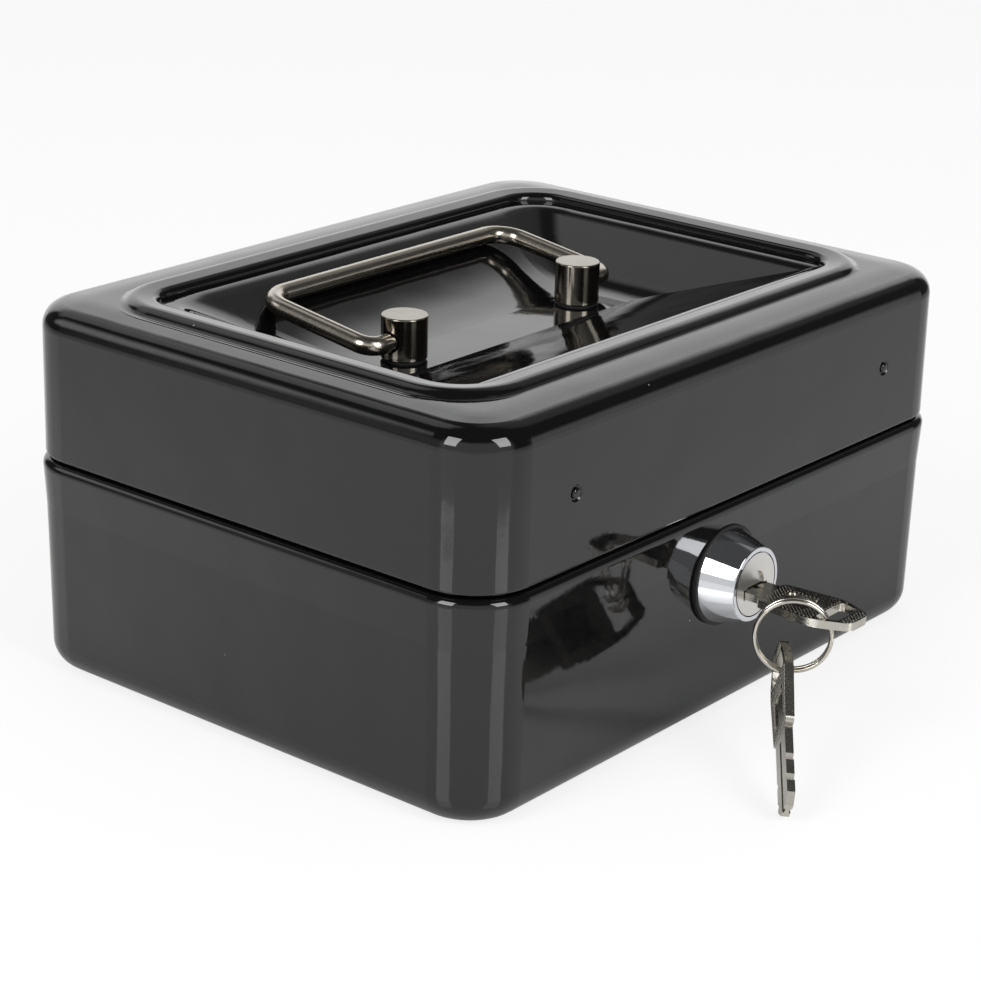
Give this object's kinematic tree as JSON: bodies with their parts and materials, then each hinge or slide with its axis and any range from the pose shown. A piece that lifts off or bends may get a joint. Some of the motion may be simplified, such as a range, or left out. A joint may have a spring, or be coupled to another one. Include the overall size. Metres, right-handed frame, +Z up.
{
  "type": "cash box",
  "caption": "Pressed steel cash box with a hinged lid, recessed folding bail handle, cam lock, keys on a split ring and a lift-out coin tray.",
  "frame": {"origin": "middle of the base's flat underside", "axes": "+Z up out of the lid, -Y out of the lock in the front wall, +X to the right seen from the front"},
  "size_m": [0.1518, 0.1628, 0.0767],
  "materials": {
    "black_enamel": "gloss black enamel on pressed sheet steel",
    "nickel_satin": "satin nickel plate",
    "chrome": "bright chrome plate",
    "nickel_plug": "pale satin nickel",
    "brass": "plain brass",
    "spring_steel": "drawn spring wire",
    "zinc_steel": "bright zinc plate",
    "nickel_key": "stamped nickel-plated key blank",
    "rubber_black": "black fibre-rubber gasket",
    "plastic_black": "black moulded plastic"
  },
  "bodies": {
    "base": {"base_shell": "black_enamel", "hinge_base_leaf_left": "black_enamel", "hinge_base_leaf_right": "black_enamel", "hinge_pin_left": "zinc_steel", "hinge_pin_right": "zinc_steel", "hinge_base_rivets": "black_enamel", "lock_washer": "rubber_black", "lock_housing": "chrome", "lock_nut": "zinc_steel", "tray_ledge_left": "black_enamel", "tray_ledge_right": "black_enamel"},
    "lid": {"lid_shell": "black_enamel", "hinge_lid_leaf_left": "black_enamel", "hinge_lid_leaf_right": "black_enamel", "hinge_lid_rivets": "black_enamel", "handle_post_left": "nickel_satin", "handle_post_right": "nickel_satin", "handle_post_gaskets": "rubber_black", "handle_washers": "zinc_steel", "handle_nuts": "zinc_steel", "strike_bar": "zinc_steel", "strike_rivets": "black_enamel"},
    "handle": {"handle_bail": "nickel_satin"},
    "plug": {"lock_plug": "nickel_plug", "wafer_tumblers": "brass", "wafer_springs": "spring_steel", "stop_washer": "zinc_steel", "lock_cam": "zinc_steel", "cam_screw": "zinc_steel"},
    "key": {"key": "nickel_key"},
    "ring": {"key_ring": "spring_steel"},
    "spare": {"spare_key": "nickel_key"},
    "tray": {"coin_tray": "plastic_black"}
  },
  "joints": [
    {"name": "lid_hinge", "type": "hinge", "parent": "base", "child": "lid", "pos_m": [0, 0.06135, 0.0453], "axis": [-1, 0, 0], "range_deg": [0, 105]},
    {"name": "handle_swing", "type": "hinge", "parent": "lid", "child": "handle", "pos_m": [0, 0.0019, 0.0692], "axis": [1, 0, 0], "range_deg": [0, 160]},
    {"name": "plug_turn", "type": "hinge", "parent": "base", "child": "plug", "pos_m": [-0.0032, -0.0663, 0.03], "axis": [0, 1, 0], "range_deg": [0, 90]},
    {"name": "key_pull", "type": "slide", "parent": "plug", "child": "key", "axis": [0, -1, 0], "range_m": [0, 0.02]},
    {"name": "ring_swing", "type": "hinge", "parent": "key", "child": "ring", "pos_m": [-0.006, -0.0844, 0.0287], "axis": [-0.5446, 0.8387, 0], "range_deg": [0, 12]},
    {"name": "spare_swing", "type": "hinge", "parent": "ring", "child": "spare", "pos_m": [-0.0103, -0.07778, 0.01831], "axis": [-0.5446, 0.8387, 0], "range_deg": [0, 60]},
    {"name": "tray_lift", "type": "slide", "parent": "base", "child": "tray", "axis": [0, 0, 1], "range_m": [0, 0.012]}
  ]
}
